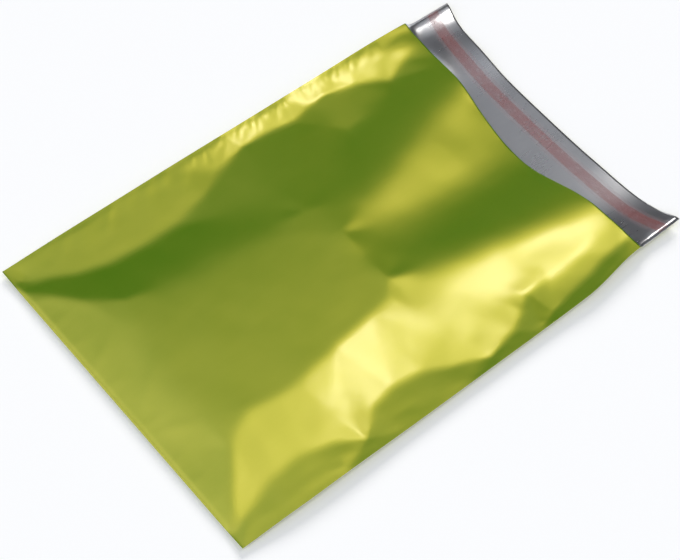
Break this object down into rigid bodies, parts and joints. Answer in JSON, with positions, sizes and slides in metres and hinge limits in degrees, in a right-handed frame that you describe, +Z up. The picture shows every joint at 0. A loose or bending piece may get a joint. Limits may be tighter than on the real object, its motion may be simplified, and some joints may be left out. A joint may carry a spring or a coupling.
{
  "type": "plastic gift bag",
  "caption": "Flat plastic bag of green metallised film, puffed with air, with welded sides and a peel and seal lip past the open mouth.",
  "frame": {"origin": "under the middle of the bag's plan, on the surface that the back panel lies on", "axes": "+Z up from the back panel to the puffed front panel, +Y along the bag from the closed end to the lip, +X across it"},
  "size_m": [0.2304, 0.3516, 0.0147],
  "materials": {
    "green_film": "satin metallised lime green outside",
    "silver_film": "satin silver metallised inside of the film",
    "adhesive": "clear tacky adhesive band",
    "pink_liner": "translucent rose release liner"
  },
  "bodies": {
    "root": {"bag_film": "green_film", "adhesive_strip": "adhesive", "release_liner": "pink_liner"}
  },
  "joints": []
}
